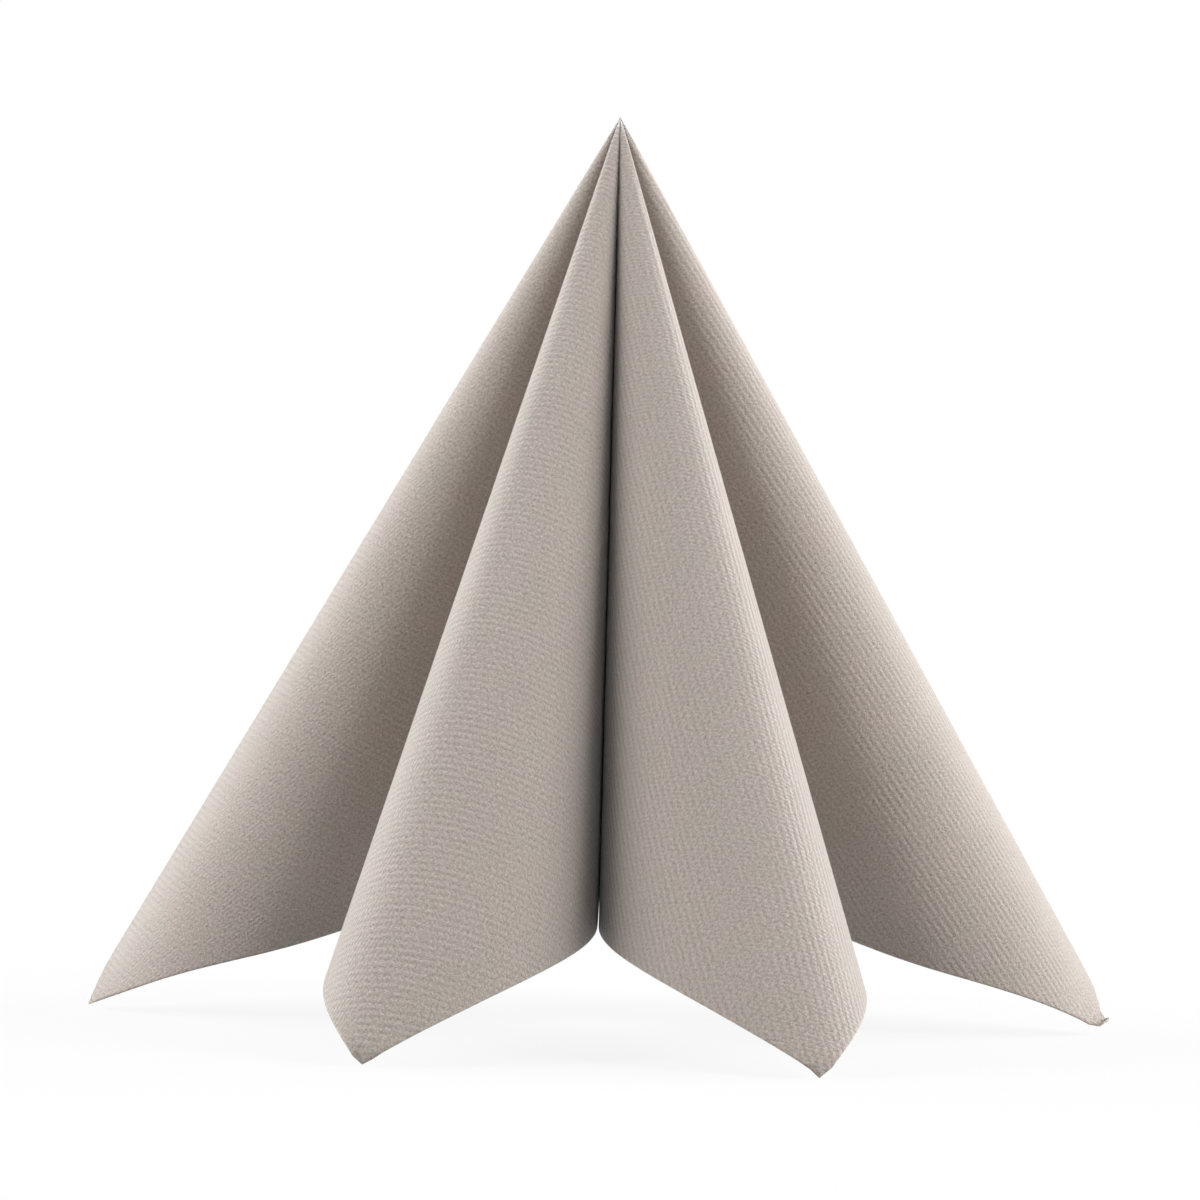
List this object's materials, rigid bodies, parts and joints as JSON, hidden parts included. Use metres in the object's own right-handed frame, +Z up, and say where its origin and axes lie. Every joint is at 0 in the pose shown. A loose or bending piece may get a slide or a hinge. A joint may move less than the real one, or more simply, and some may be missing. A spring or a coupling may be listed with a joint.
{
  "type": "folded paper napkin",
  "caption": "Square paper napkin stood up as a tent: the middle of the sheet is the tip, the corners are four feet, with deep pleats in front and at both sides",
  "frame": {"origin": "on the table, at the middle of the tent's length and width", "axes": "+Z up, -Y towards the front, where the two inner lobes stand, +X to the right seen from above with the front down; mirrored about X = 0"},
  "size_m": [0.2766, 0.2412, 0.2468],
  "materials": {
    "paper": "matt, finely embossed, soft surface"
  },
  "bodies": {
    "root": {"napkin": "paper"}
  },
  "joints": []
}
